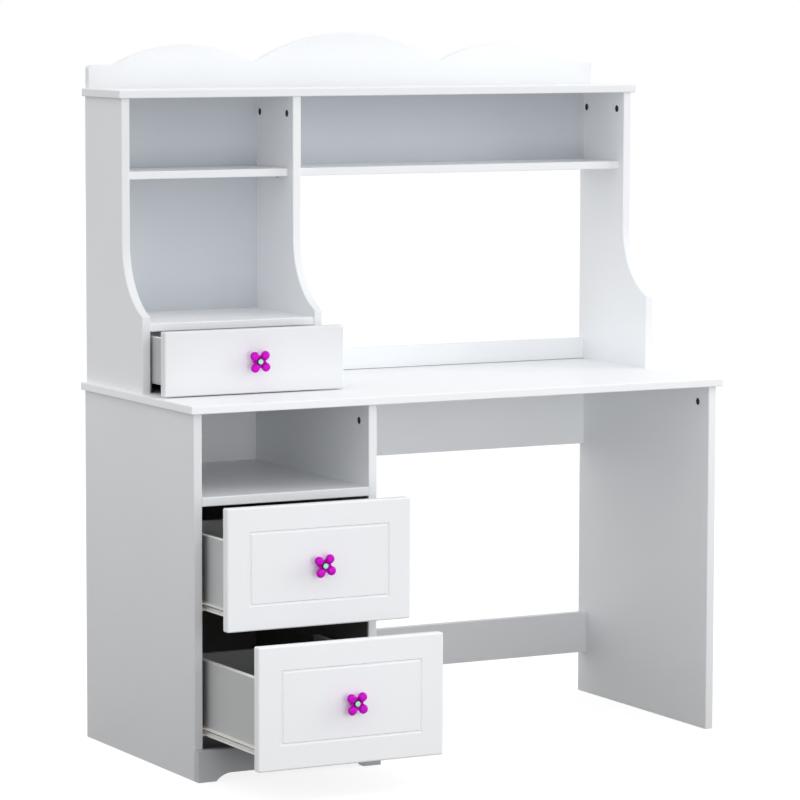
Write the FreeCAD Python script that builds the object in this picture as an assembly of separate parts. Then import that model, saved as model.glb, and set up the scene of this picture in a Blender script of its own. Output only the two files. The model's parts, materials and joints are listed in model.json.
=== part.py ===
import FreeCAD, Part
import math
import os

os.makedirs("parts", exist_ok=True)

V = FreeCAD.Vector
TINY = 0.001

# Student desk with hutch, in millimetres: X from left to right, Y from front to back, Z up.
# It stands with its drawers partly open.

# Overall sizes
top_width = 1200.0
top_depth = 530.0
desk_height = 728.0
hutch_height = 592.0

# Board thicknesses
side_board = 18.0
shelf_board = 16.0
back_board = 12.0
front_board = 18.0
box_board = 12.0
bottom_sheet = 5.0

# Softened edges
board_round = 2.0
front_round = 3.5
crown_round = 8.0

# Overhangs and insets of the tops
top_end_overhang = 9.0
top_front_overhang = 12.0
top_back_overhang = 3.0
hutch_end_inset = 12.5
hutch_top_end_overhang = 7.5
hutch_top_front_overhang = 7.0
hutch_top_back_overhang = 1.0

# Pedestal, plinth and knee space
pedestal_bay = 360.0
plinth_height = 62.0
plinth_foot = 38.0
plinth_arch_run = 33.0
plinth_arch_height = 15.0
apron_height = 169.0
stretcher_rise = 89.0
stretcher_height = 87.0
stretcher_inset = 14.0

# Hutch
hutch_bay = 360.0
hutch_depth = 177.0
curve_reach = 95.0
curve_sweep = math.radians(68.5)
curve_rise = 14.0
top_cubby_height = 145.5
shelf_setback = 21.5
low_shelf_setback = 2.0
low_rail_height = 44.0
low_rail_gap = 1.0
loose_shelf_play = 1.5

# Crown board
crown_shoulder = 47.0
crown_shoulder_run = 56.5
crown_valley = 50.0
crown_side_hump = 86.5
crown_middle_hump = 109.5
crown_middle_half = 216.0

# Drawer fronts
front_reveal = 2.0
front_rise = 4.0
front_height = 236.0
front_split = 8.0
shelf_overlap = 13.5
hutch_front_reveal = 2.5
hutch_front_rise = 2.0
hutch_front_height = 127.0
hutch_shelf_overlap = 7.5
close_gap = 1.0

# Grooved rectangle on the desk drawer fronts
groove_inset = 49.0
groove_width = 6.0
groove_floor = 1.5
groove_depth = 2.5

# How far each drawer stands open
hutch_pull = 81.0
upper_pull = 125.0
lower_pull = 258.0

# Drawer boxes
side_rise = 21.0
side_height = 143.5
box_back_drop = 16.0
sheet_rise = 16.0
sheet_groove = 6.0
sheet_play = 0.5
hutch_side_rise = 23.0
hutch_side_height = 86.5
hutch_box_room = 30.0

# Steel roller runners of the desk drawers
slide_gap = 12.5
steel = 1.2
channel_height = 15.0
channel_lip = 4.0
channel_tip_gap = 1.7
runner_setback = 2.0
runner_back_room = 51.0
roller_inset = 12.0
roll_gap = 0.3
roller_end_gap = 0.3
axle_radius = 2.0
axle_shoulder = 3.0
axle_fit = 0.1

# Wooden runners of the hutch drawer
hutch_slide_gap = 5.0
guide_play = 0.5
guide_height = 20.0
wood_runner_setback = 30.0
wood_runner_gap = 0.3

# Runner screws
screw_radius = 1.75
screw_head = 3.2
screw_bite = 10.0
screw_fit = 0.05
screw_inset = 70.0

# Knobs
petal_radius = 9.1
petal_rim = 5.5
petal_offset = 16.4
hutch_petal_turn = math.radians(3)
upper_petal_turn = math.radians(8)
lower_petal_turn = math.radians(4)
petal_thickness = 12.0
petal_count = 4
hub_radius = 12.5
hub_rim = 1.6
hub_drop = 7.5
hub_back_drop = 0.8
stem_radius = 6.0
stem_length = 16.0
cap_radius = 7.2
cap_dome = 5.0
cap_plug_radius = 5.0
cap_plug_depth = 3.0
cap_fit = 0.05
bolt_radius = 2.0
bolt_bite = 11.0
bolt_head = 4.0
bolt_head_height = 2.5
bolt_slot = 1.0
bolt_fit = 0.15

# Cam locks, dowels and shelf pins
cam_radius = 7.5
cam_depth = 12.5
cam_recess = 1.0
cam_fit = 0.05
cam_drop = 35.0
cam_front_inset = 29.0
cam_back_inset = 24.0
desk_cam_inset = 43.0
cam_cross_length = 8.0
cam_cross_width = 1.8
cam_cross_depth = 1.5
cam_bolt_radius = 3.0
cam_bolt_head = 3.5
cam_bolt_head_length = 4.0
cam_bolt_bite = 11.0
cam_bolt_play = 0.3
dowel_radius = 4.0
dowel_length = 24.0
dowel_fit = 0.05
dowel_end_play = 0.5
dowel_inset = 40.0
rail_dowel_inset = 22.0
crown_dowel_spacing = 480.0
pin_radius = 2.5
pin_depth = 10.0
pin_tongue = 8.0
pin_width = 10.0
pin_fit = 0.05
pin_inset = 35.0

# Places from left to right
left_end = -top_width / 2
right_end = top_width / 2
left_out = left_end + top_end_overhang
left_in = left_out + side_board
divider_in = left_in + pedestal_bay
divider_out = divider_in + side_board
right_out = right_end - top_end_overhang
right_in = right_out - side_board
hutch_left_out = left_end + hutch_end_inset
hutch_left_in = hutch_left_out + side_board
hutch_divider_in = hutch_left_in + hutch_bay
hutch_divider_out = hutch_divider_in + side_board
hutch_right_out = right_end - hutch_end_inset
hutch_right_in = hutch_right_out - side_board

# Places from front to back; the open drawers count in the middle of the whole
knob_reach = stem_length + petal_thickness + max(0.0, cap_dome - hub_drop)
closed_reach = front_board + close_gap + knob_reach - top_front_overhang
reach = closed_reach + max(upper_pull, lower_pull)
top_front = (reach - top_depth) / 2
top_back = top_front + top_depth
side_front = top_front + top_front_overhang
side_back = top_back - top_back_overhang
upper_front = side_back - hutch_depth
lower_front = upper_front - curve_reach
shelf_front = upper_front + shelf_setback

# Places from the floor up
desk_under = desk_height - shelf_board
lower_front_z = plinth_height + front_rise
upper_front_z = lower_front_z + front_height + front_split
pedestal_shelf_z = upper_front_z + front_height - shelf_overlap
hutch_front_z = desk_height + hutch_front_rise
low_shelf_z = hutch_front_z + hutch_front_height - hutch_shelf_overlap
low_rail_z = desk_height + low_rail_gap
curve_end_z = low_shelf_z + shelf_board + curve_rise
hutch_top_z = desk_height + hutch_height
hutch_under = hutch_top_z - shelf_board
high_shelf_z = hutch_under - top_cubby_height - shelf_board

# Runner sizes that follow from the carcass
runner_length = side_back - back_board - runner_back_room - side_front - runner_setback
channel_reach = (slide_gap - channel_tip_gap) / 2
roller_radius = channel_height / 2 - steel - roll_gap
roller_width = channel_reach - 2 * steel - 2 * roller_end_gap
hutch_box_length = side_back - back_board - hutch_box_room - lower_front

parts = {}
holes = {}
dowels = []
cam_locks = []
cam_bolts = []
cabinet_screws = []


def board(x0, x1, y0, y1, z0, z1):
    return Part.makeBox(x1 - x0, y1 - y0, z1 - z0, V(x0, y0, z0))


def rod(radius, start, end):
    return Part.makeCylinder(radius, (end - start).Length, start, end - start)


def soften(shape, radius, wanted):
    edges = [edge for edge in shape.Edges if wanted(edge.BoundBox)]
    return shape.makeFillet(radius, edges)


def soft_slab(x0, x1, y0, y1, z0, z1):
    return soften(board(x0, x1, y0, y1, z0, z1), board_round, lambda box: True)


def soft_upright(x0, x1, y0, y1, z0, z1):
    shape = board(x0, x1, y0, y1, z0, z1)
    return soften(shape, board_round, lambda box: box.YMax < y0 + TINY and box.ZLength > TINY)


def soft_shelf(x0, x1, y0, y1, z0, z1):
    shape = board(x0, x1, y0, y1, z0, z1)
    return soften(shape, board_round, lambda box: box.YMax < y0 + TINY and box.XLength > TINY)


def drill(name, cutter):
    holes.setdefault(name, []).append(cutter)


def dowel(centre, axis, first, second):
    half = axis * (dowel_length / 2)
    deep = axis * (dowel_length / 2 + dowel_end_play)
    dowels.append(rod(dowel_radius, centre - half, centre + half))
    bore = rod(dowel_radius + dowel_fit, centre - deep, centre + deep)
    drill(first, bore)
    drill(second, bore)


def cam_lock(face_x, side, y, top_z, upright, top):
    # A cam in the upright's face draws a bolt down out of the top board.
    z = top_z - cam_drop
    out = V(side, 0, 0)
    face = V(face_x, y, z)
    floor = face - out * cam_depth
    bolt_x = face_x - side * side_board / 2
    drill(upright, rod(cam_radius, floor, face + out))
    cam = rod(cam_radius - cam_fit, floor, face - out * cam_recess)
    for dy, dz in ((cam_cross_length, cam_cross_width), (cam_cross_width, cam_cross_length)):
        slot_low = face_x - side * (cam_recess + cam_cross_depth)
        x0, x1 = sorted((slot_low, face_x))
        cam = cam.cut(board(x0, x1, y - dy / 2, y + dy / 2, z - dz / 2, z + dz / 2))
    bolt_end = V(bolt_x, y, z)
    bolt_tip = V(bolt_x, y, top_z + cam_bolt_bite)
    pocket_radius = cam_bolt_head + cam_bolt_play
    pocket = rod(pocket_radius, bolt_end - V(0, 0, cam_bolt_play), V(bolt_x, y, top_z))
    cam_locks.append(cam.cut(pocket))
    drill(upright, pocket)
    head = rod(cam_bolt_head, bolt_end, bolt_end + V(0, 0, cam_bolt_head_length))
    cam_bolts.append(rod(cam_bolt_radius, bolt_end, bolt_tip).fuse(head).removeSplitter())
    drill(top, rod(cam_bolt_radius + cam_fit, V(bolt_x, y, top_z - TINY), bolt_tip))


def countersunk_screw(point, way, grow=0.0):
    # A flush screw: its head's face lies at the point, and it goes in along the way given.
    neck = point + way * steel
    tip = neck + way * screw_bite
    head = Part.makeCone(screw_head + grow, screw_radius + grow, steel, point, way)
    return head.fuse(rod(screw_radius + grow, neck, tip + way * grow)).removeSplitter()


# Desk carcass
parts["desk_top"] = soft_slab(left_end, right_end, top_front, top_back, desk_under, desk_height)
parts["desk_left_side"] = soft_upright(left_out, left_in, side_front, side_back, 0, desk_under)
parts["desk_divider"] = soft_upright(divider_in, divider_out, side_front, side_back, 0, desk_under)
parts["desk_right_side"] = soft_upright(right_in, right_out, side_front, side_back, 0, desk_under)
parts["pedestal_shelf"] = soft_shelf(
    left_in, divider_in, side_front, side_back - back_board, pedestal_shelf_z, pedestal_shelf_z + side_board
)
parts["pedestal_back"] = board(
    left_in, divider_in, side_back - back_board, side_back, plinth_height, desk_under
)
parts["knee_apron"] = board(
    divider_out, right_in, side_back - shelf_board, side_back, desk_under - apron_height, desk_under
)
stretcher_back = side_back - stretcher_inset
parts["lower_stretcher"] = board(
    divider_out,
    right_in,
    stretcher_back - side_board,
    stretcher_back,
    stretcher_rise,
    stretcher_rise + stretcher_height,
)


def plinth_outline():
    # The arch meets its level run smoothly and the foot at a corner.
    radius = (plinth_arch_run ** 2 + plinth_arch_height ** 2) / (2 * plinth_arch_height)
    middle = math.asin(plinth_arch_run / radius) / 2
    mid_run = plinth_arch_run - radius * math.sin(middle)
    mid_height = plinth_arch_height - radius * (1 - math.cos(middle))

    def at(x, z):
        return V(x, side_front, z)

    foot_left = left_out + plinth_foot
    foot_right = divider_out - plinth_foot
    arch_left = at(foot_left + plinth_arch_run, plinth_arch_height)
    arch_right = at(foot_right - plinth_arch_run, plinth_arch_height)
    corners = [at(foot_right, 0), at(divider_out, 0), at(divider_out, plinth_height)]
    corners += [at(left_out, plinth_height), at(left_out, 0), at(foot_left, 0)]
    edges = [Part.makeLine(a, b) for a, b in zip(corners, corners[1:])]
    edges.append(Part.Arc(at(foot_left, 0), at(foot_left + mid_run, mid_height), arch_left).toShape())
    edges.append(Part.makeLine(arch_left, arch_right))
    edges.append(Part.Arc(arch_right, at(foot_right - mid_run, mid_height), at(foot_right, 0)).toShape())
    return Part.Wire(edges)


plinth = Part.Face(plinth_outline()).extrude(V(0, -side_board, 0))
plinth_face = side_front - side_board
parts["plinth"] = soften(
    plinth, board_round, lambda box: box.YMax < plinth_face + TINY and box.ZMin > plinth_height - TINY
)

# Hutch boards
parts["hutch_top"] = soft_slab(
    hutch_left_out - hutch_top_end_overhang,
    hutch_right_out + hutch_top_end_overhang,
    upper_front - hutch_top_front_overhang,
    side_back + hutch_top_back_overhang,
    hutch_under,
    hutch_top_z,
)


def hutch_upright(x0):
    # The front edge sweeps forward in one arc, from the slim upper part to the deep lower part.
    radius = curve_reach / (1 - math.cos(curve_sweep))
    centre_y = upper_front - radius
    start_z = curve_end_z + radius * math.sin(curve_sweep)

    def on_arc(angle):
        return V(x0, centre_y + radius * math.cos(angle), start_z - radius * math.sin(angle))

    corners = [
        on_arc(0),
        V(x0, upper_front, hutch_under),
        V(x0, side_back, hutch_under),
        V(x0, side_back, desk_height),
        V(x0, lower_front, desk_height),
        on_arc(curve_sweep),
    ]
    edges = [Part.makeLine(a, b) for a, b in zip(corners, corners[1:])]
    edges.append(Part.Arc(on_arc(curve_sweep), on_arc(curve_sweep / 2), on_arc(0)).toShape())
    shape = Part.Face(Part.Wire(edges)).extrude(V(side_board, 0, 0))
    shape = soften(
        shape,
        board_round,
        lambda box: box.XLength > TINY and box.YMax < lower_front + TINY and box.ZMin > desk_height + TINY,
    )
    front_limit = upper_front + TINY
    return soften(shape, board_round, lambda box: box.XLength < TINY and box.YMax < front_limit)


parts["hutch_left_side"] = hutch_upright(hutch_left_out)
parts["hutch_divider"] = hutch_upright(hutch_divider_in)
parts["hutch_right_side"] = hutch_upright(hutch_right_in)
back_face = side_back - back_board
parts["hutch_left_back"] = board(
    hutch_left_in, hutch_divider_in, back_face, side_back, desk_height, hutch_under
)
parts["hutch_right_back"] = board(
    hutch_divider_out, hutch_right_in, back_face, side_back, high_shelf_z + shelf_board, hutch_under
)
parts["loose_shelf"] = soft_shelf(
    hutch_left_in + loose_shelf_play,
    hutch_divider_in - loose_shelf_play,
    shelf_front,
    back_face - loose_shelf_play,
    high_shelf_z,
    high_shelf_z + shelf_board,
)
parts["long_shelf"] = soft_shelf(
    hutch_divider_out, hutch_right_in, shelf_front, side_back, high_shelf_z, high_shelf_z + shelf_board
)
parts["low_shelf"] = soft_shelf(
    hutch_left_in,
    hutch_divider_in,
    lower_front + low_shelf_setback,
    back_face,
    low_shelf_z,
    low_shelf_z + shelf_board,
)
parts["hutch_low_rail"] = board(
    hutch_divider_out,
    hutch_right_in,
    side_back - side_board,
    side_back,
    low_rail_z,
    low_rail_z + low_rail_height,
)


def crown_outline():
    # Three humps between level shoulders.
    def at(x, height):
        return V(x, side_back, hutch_top_z + height)

    foot = hutch_right_out - crown_shoulder_run
    hump = (foot + crown_middle_half) / 2
    foot_left, foot_right = at(-foot, crown_shoulder), at(foot, crown_shoulder)
    valley_left, valley_right = at(-crown_middle_half, crown_valley), at(crown_middle_half, crown_valley)
    edges = [
        Part.Arc(foot_left, at(-hump, crown_side_hump), valley_left).toShape(),
        Part.Arc(valley_left, at(0, crown_middle_hump), valley_right).toShape(),
        Part.Arc(valley_right, at(hump, crown_side_hump), foot_right).toShape(),
    ]
    corners = [foot_right, at(hutch_right_out, crown_shoulder), at(hutch_right_out, 0)]
    corners += [at(hutch_left_out, 0), at(hutch_left_out, crown_shoulder), foot_left]
    edges += [Part.makeLine(a, b) for a, b in zip(corners, corners[1:])]
    return Part.Wire(edges)


crown = Part.Face(crown_outline()).extrude(V(0, -shelf_board, 0))
crown = soften(crown, crown_round, lambda box: box.YLength > TINY and box.ZMin > hutch_top_z + TINY)
parts["hutch_crown"] = soften(
    crown, board_round, lambda box: box.YLength < TINY and box.ZMax > hutch_top_z + TINY
)

# Shelf pins under the loose shelf
pins = []
for face_x, side, upright in ((hutch_left_in, 1, "hutch_left_side"), (hutch_divider_in, -1, "hutch_divider")):
    for y in (shelf_front + pin_inset, back_face - loose_shelf_play - pin_inset):
        axis_z = high_shelf_z - pin_radius
        face = V(face_x, y, axis_z)
        x0, x1 = sorted((face_x, face_x + side * pin_tongue))
        tongue_z = high_shelf_z - 2 * pin_radius
        tongue = board(x0, x1, y - pin_width / 2, y + pin_width / 2, tongue_z, high_shelf_z)
        pins.append(rod(pin_radius, face - V(side * pin_depth, 0, 0), face).fuse(tongue).removeSplitter())
        drill(upright, rod(pin_radius + pin_fit, face - V(side * pin_depth, 0, 0), face))
parts["shelf_pins"] = Part.makeCompound(pins)

# Cam locks under the two tops
for face_x, side, upright in (
    (hutch_left_in, 1, "hutch_left_side"),
    (hutch_divider_in, -1, "hutch_divider"),
    (hutch_right_in, -1, "hutch_right_side"),
):
    for y in (upper_front + cam_front_inset, side_back - cam_back_inset):
        cam_lock(face_x, side, y, hutch_under, upright, "hutch_top")
for face_x, side, upright in (
    (left_in, 1, "desk_left_side"),
    (divider_in, -1, "desk_divider"),
    (right_in, -1, "desk_right_side"),
):
    cam_lock(face_x, side, side_front + desk_cam_inset, desk_under, upright, "desk_top")
parts["cam_locks"] = Part.makeCompound(cam_locks)
parts["cam_bolts"] = Part.makeCompound(cam_bolts)

# Dowels in the butt joints
across = V(1, 0, 0)
along = V(0, 1, 0)
upward = V(0, 0, 1)
half_side = side_board / 2
for x, upright in (
    (hutch_left_out, "hutch_left_side"),
    (hutch_divider_in, "hutch_divider"),
    (hutch_right_in, "hutch_right_side"),
):
    for y in (lower_front + dowel_inset, side_back - dowel_inset):
        dowel(V(x + half_side, y, desk_height), upward, upright, "desk_top")
for x in (-crown_dowel_spacing, 0, crown_dowel_spacing):
    dowel(V(x, side_back - shelf_board / 2, hutch_top_z), upward, "hutch_crown", "hutch_top")
for shelf, z, front, back, ends in (
    (
        "low_shelf",
        low_shelf_z + shelf_board / 2,
        lower_front + low_shelf_setback,
        back_face,
        ((hutch_left_in, "hutch_left_side"), (hutch_divider_in, "hutch_divider")),
    ),
    (
        "long_shelf",
        high_shelf_z + shelf_board / 2,
        shelf_front,
        side_back,
        ((hutch_divider_out, "hutch_divider"), (hutch_right_in, "hutch_right_side")),
    ),
    (
        "pedestal_shelf",
        pedestal_shelf_z + half_side,
        side_front,
        back_face,
        ((left_in, "desk_left_side"), (divider_in, "desk_divider")),
    ),
):
    for x, upright in ends:
        for y in (front + dowel_inset, back - dowel_inset):
            dowel(V(x, y, z), across, shelf, upright)
for rail, middle_y, low, high in (
    ("knee_apron", side_back - shelf_board / 2, desk_under - apron_height, desk_under),
    ("lower_stretcher", stretcher_back - half_side, stretcher_rise, stretcher_rise + stretcher_height),
):
    for x, upright in ((divider_out, "desk_divider"), (right_in, "desk_right_side")):
        for z in (low + rail_dowel_inset, high - rail_dowel_inset):
            dowel(V(x, middle_y, z), across, rail, upright)
for x, upright in ((hutch_divider_out, "hutch_divider"), (hutch_right_in, "hutch_right_side")):
    dowel(V(x, side_back - half_side, low_rail_z + low_rail_height / 2), across, "hutch_low_rail", upright)
plinth_dowel_z = (plinth_height + plinth_arch_height) / 2
for x, upright in ((left_out, "desk_left_side"), (divider_in, "desk_divider")):
    dowel(V(x + half_side, side_front, plinth_dowel_z), along, "plinth", upright)
parts["dowels"] = Part.makeCompound(dowels)


def channel(web_x, side, y0, z0):
    # A steel channel with its web at web_x, and lips that leave a slot along the side given.
    def bar(near, far, inset):
        x0, x1 = sorted((web_x + side * near, web_x + side * far))
        return board(x0, x1, y0, y0 + runner_length, z0 + inset, z0 + channel_height - inset)

    hollow = bar(steel, channel_reach - steel, steel)
    slot = bar(steel, channel_reach + steel, channel_lip)
    return bar(0, channel_reach, 0).cut(hollow.fuse(slot))


def axle(web_x, side, y, z):
    # A shouldered axle stands on the web and carries a roller in the facing channel.
    root = V(web_x + side * steel, y, z)
    end = V(web_x + side * (slide_gap - steel - roller_end_gap), y, z)
    shoulder = end - V(side * (roller_width + roller_end_gap), 0, 0)
    return rod(axle_shoulder, root, shoulder).fuse(rod(axle_radius, shoulder, end)), end


def roller(end, side):
    inner = end - V(side * roller_width, 0, 0)
    wheel = rod(roller_radius, inner, end)
    return wheel.cut(rod(axle_radius + axle_fit, inner, end))


def runner_pair(prefix, box_y, box_z):
    # Channels, rollers and screws on both sides of a desk drawer.
    cabinet, drawer_side, front_rollers, rear_rollers, screws = [], [], [], [], []
    cabinet_y = side_front + runner_setback
    axle_z = box_z + channel_height / 2
    for panel_x, side, upright, box_side in (
        (left_in, 1, "desk_left_side", "left"),
        (divider_in, -1, "desk_divider", "right"),
    ):
        box_x = panel_x + side * slide_gap
        fixed = channel(panel_x, side, cabinet_y, box_z)
        moving = channel(box_x, -side, box_y, box_z)
        front_axle, front_end = axle(panel_x, side, cabinet_y + roller_inset, axle_z)
        rear_axle, rear_end = axle(box_x, -side, box_y + runner_length - roller_inset, axle_z)
        fixed = fixed.fuse(front_axle).removeSplitter()
        moving = moving.fuse(rear_axle).removeSplitter()
        front_rollers.append(roller(front_end, side))
        rear_rollers.append(roller(rear_end, -side))
        for offset in (screw_inset, runner_length - screw_inset):
            start = V(panel_x + side * steel, cabinet_y + offset, axle_z)
            cabinet_screws.append(countersunk_screw(start, V(-side, 0, 0)))
            bore = countersunk_screw(start, V(-side, 0, 0), screw_fit)
            fixed = fixed.cut(bore)
            drill(upright, bore)
            start = V(box_x - side * steel, box_y + offset, axle_z)
            screws.append(countersunk_screw(start, V(side, 0, 0)))
            bore = countersunk_screw(start, V(side, 0, 0), screw_fit)
            moving = moving.cut(bore)
            drill(prefix + "_drawer_" + box_side + "_side", bore)
        cabinet.append(fixed)
        drawer_side.append(moving)
    parts[prefix + "_cabinet_runners"] = Part.makeCompound(cabinet)
    parts[prefix + "_front_rollers"] = Part.makeCompound(front_rollers)
    parts[prefix + "_drawer_runners"] = Part.makeCompound(drawer_side)
    parts[prefix + "_rear_rollers"] = Part.makeCompound(rear_rollers)
    parts[prefix + "_drawer_screws"] = Part.makeCompound(screws)


def rectangle(x0, x1, z0, z1, y):
    corners = [V(x0, y, z0), V(x1, y, z0), V(x1, y, z1), V(x0, y, z1), V(x0, y, z0)]
    return Part.makePolygon(corners)


def groove_ring(x0, x1, z0, z1, y):
    # The tool path of a routed groove with sloping walls, cut in from the face at y.
    def inset_loft(at_face, at_floor):
        wires = []
        for inset, depth in ((at_face, 0), (at_floor, groove_depth)):
            total = groove_inset + inset
            wires.append(rectangle(x0 + total, x1 - total, z0 + total, z1 - total, y + depth))
        return Part.makeLoft(wires, True, True)

    outer = inset_loft(-groove_width / 2, -groove_floor / 2)
    inner = inset_loft(groove_width / 2, groove_floor / 2)
    return outer.cut(inner)


def drawer_front(x0, x1, back_y, z0, height, grooved):
    face_y = back_y - front_board
    front = board(x0, x1, face_y, back_y, z0, z0 + height)
    front = soften(front, front_round, lambda box: box.YMin < face_y + TINY)
    if grooved:
        front = front.cut(groove_ring(x0, x1, z0, z0 + height, face_y))
    return front


def turned(outline, x, z):
    # A solid of revolution about an axis that runs front to back.
    return Part.Face(Part.Wire(outline)).revolve(V(x, 0, z), V(0, 1, 0), 360)


def puck(x, front_y, back_y, z, radius, rim):
    # A disc with rounded rims.
    corner = rim * (1 - math.sqrt(0.5))

    def at(out, y):
        return V(x + out, y, z)

    front_rim = Part.Arc(
        at(radius - rim, front_y), at(radius - corner, front_y + corner), at(radius, front_y + rim)
    )
    back_rim = Part.Arc(
        at(radius, back_y - rim), at(radius - corner, back_y - corner), at(radius - rim, back_y)
    )
    outline = [
        Part.makeLine(at(0, front_y), at(radius - rim, front_y)),
        front_rim.toShape(),
        Part.makeLine(at(radius, front_y + rim), at(radius, back_y - rim)),
        back_rim.toShape(),
        Part.makeLine(at(radius - rim, back_y), at(0, back_y)),
        Part.makeLine(at(0, back_y), at(0, front_y)),
    ]
    return turned(outline, x, z)


def flower(x, face_y, z, petal_turn):
    # Round petals about a thinner hub, on a stem that stands on the drawer front.
    back_y = face_y - stem_length
    front_y = back_y - petal_thickness
    hub_front = front_y + hub_drop
    shape = puck(x, hub_front, back_y - hub_back_drop, z, hub_radius, hub_rim)
    shape = shape.fuse(rod(stem_radius, V(x, back_y - hub_rim, z), V(x, face_y, z)))
    for index in range(petal_count):
        angle = (index + 0.5) * 2 * math.pi / petal_count
        petal_x = x + petal_offset * math.cos(angle)
        petal_z = z + petal_offset * math.sin(angle)
        shape = shape.fuse(puck(petal_x, front_y, back_y, petal_z, petal_radius, petal_rim))
    cap_seat = rod(cap_plug_radius + cap_fit, V(x, hub_front, z), V(x, hub_front + cap_plug_depth, z))
    bolt_bore = rod(bolt_radius + cap_fit, V(x, face_y - bolt_bite, z), V(x, face_y, z))
    shape = shape.removeSplitter().cut(cap_seat).cut(bolt_bore)
    shape.rotate(V(x, face_y, z), along, -math.degrees(petal_turn))
    return shape


def knob_cap(x, face_y, z):
    # A low dome with a plug that sits in the hub.
    seat_y = face_y - stem_length - petal_thickness + hub_drop
    sphere_radius = (cap_radius ** 2 + cap_dome ** 2) / (2 * cap_dome)
    centre_y = seat_y - cap_dome + sphere_radius
    middle = math.asin(cap_radius / sphere_radius) / 2

    def at(out, y):
        return V(x + out, y, z)

    dome_middle = at(sphere_radius * math.sin(middle), centre_y - sphere_radius * math.cos(middle))
    outline = [Part.Arc(at(0, seat_y - cap_dome), dome_middle, at(cap_radius, seat_y)).toShape()]
    plug_y = seat_y + cap_plug_depth
    corners = [at(cap_radius, seat_y), at(cap_plug_radius, seat_y), at(cap_plug_radius, plug_y)]
    corners += [at(0, plug_y), at(0, seat_y - cap_dome)]
    outline += [Part.makeLine(a, b) for a, b in zip(corners, corners[1:])]
    return turned(outline, x, z)


def knob_bolt(x, back_y, z):
    shank = rod(bolt_radius, V(x, back_y - front_board - bolt_bite, z), V(x, back_y, z))
    head = rod(bolt_head, V(x, back_y, z), V(x, back_y + bolt_head_height, z))
    slot = board(
        x - bolt_head,
        x + bolt_head,
        back_y + bolt_head_height - bolt_slot,
        back_y + bolt_head_height,
        z - bolt_slot / 2,
        z + bolt_slot / 2,
    )
    return shank.fuse(head).removeSplitter().cut(slot)


def knob(prefix, x, back_y, z, petal_turn):
    face_y = back_y - front_board
    parts[prefix + "_knob_flower"] = flower(x, face_y, z, petal_turn)
    parts[prefix + "_knob_centre"] = knob_cap(x, face_y, z)
    parts[prefix + "_knob_screw"] = knob_bolt(x, back_y, z)
    bore = rod(bolt_radius + bolt_fit, V(x, face_y, z), V(x, back_y, z))
    drill(prefix + "_drawer_front", bore)


def desk_drawer(prefix, front_z, pull, petal_turn):
    # The bottom sheet lies in grooves in the sides and the front, and runs under the back.
    name = prefix + "_drawer_"
    x0 = left_out + front_reveal
    x1 = divider_out - front_reveal
    back_y = side_front - close_gap - pull
    parts[name + "front"] = drawer_front(x0, x1, back_y, front_z, front_height, True)
    knob(prefix, (x0 + x1) / 2, back_y, front_z + front_height / 2, petal_turn)
    box_x0 = left_in + slide_gap
    box_x1 = divider_in - slide_gap
    box_z0 = front_z + side_rise
    box_z1 = box_z0 + side_height
    end_y = back_y + runner_length
    parts[name + "left_side"] = board(box_x0, box_x0 + box_board, back_y, end_y, box_z0, box_z1)
    parts[name + "right_side"] = board(box_x1 - box_board, box_x1, back_y, end_y, box_z0, box_z1)
    sheet_z = box_z0 + sheet_rise
    sheet_x0 = box_x0 + box_board - sheet_groove
    sheet_x1 = box_x1 - box_board + sheet_groove
    sheet_y = back_y - sheet_groove
    groove = board(sheet_x0, sheet_x1, sheet_y, end_y, sheet_z, sheet_z + bottom_sheet)
    for piece in ("front", "left_side", "right_side"):
        drill(name + piece, groove)
    parts[name + "bottom"] = board(
        sheet_x0 + sheet_play,
        sheet_x1 - sheet_play,
        sheet_y + sheet_play,
        end_y,
        sheet_z,
        sheet_z + bottom_sheet,
    )
    parts[name + "back"] = board(
        box_x0 + box_board,
        box_x1 - box_board,
        end_y - box_board,
        end_y,
        sheet_z + bottom_sheet,
        box_z1 - box_back_drop,
    )
    runner_pair(prefix, back_y, box_z0)


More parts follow.
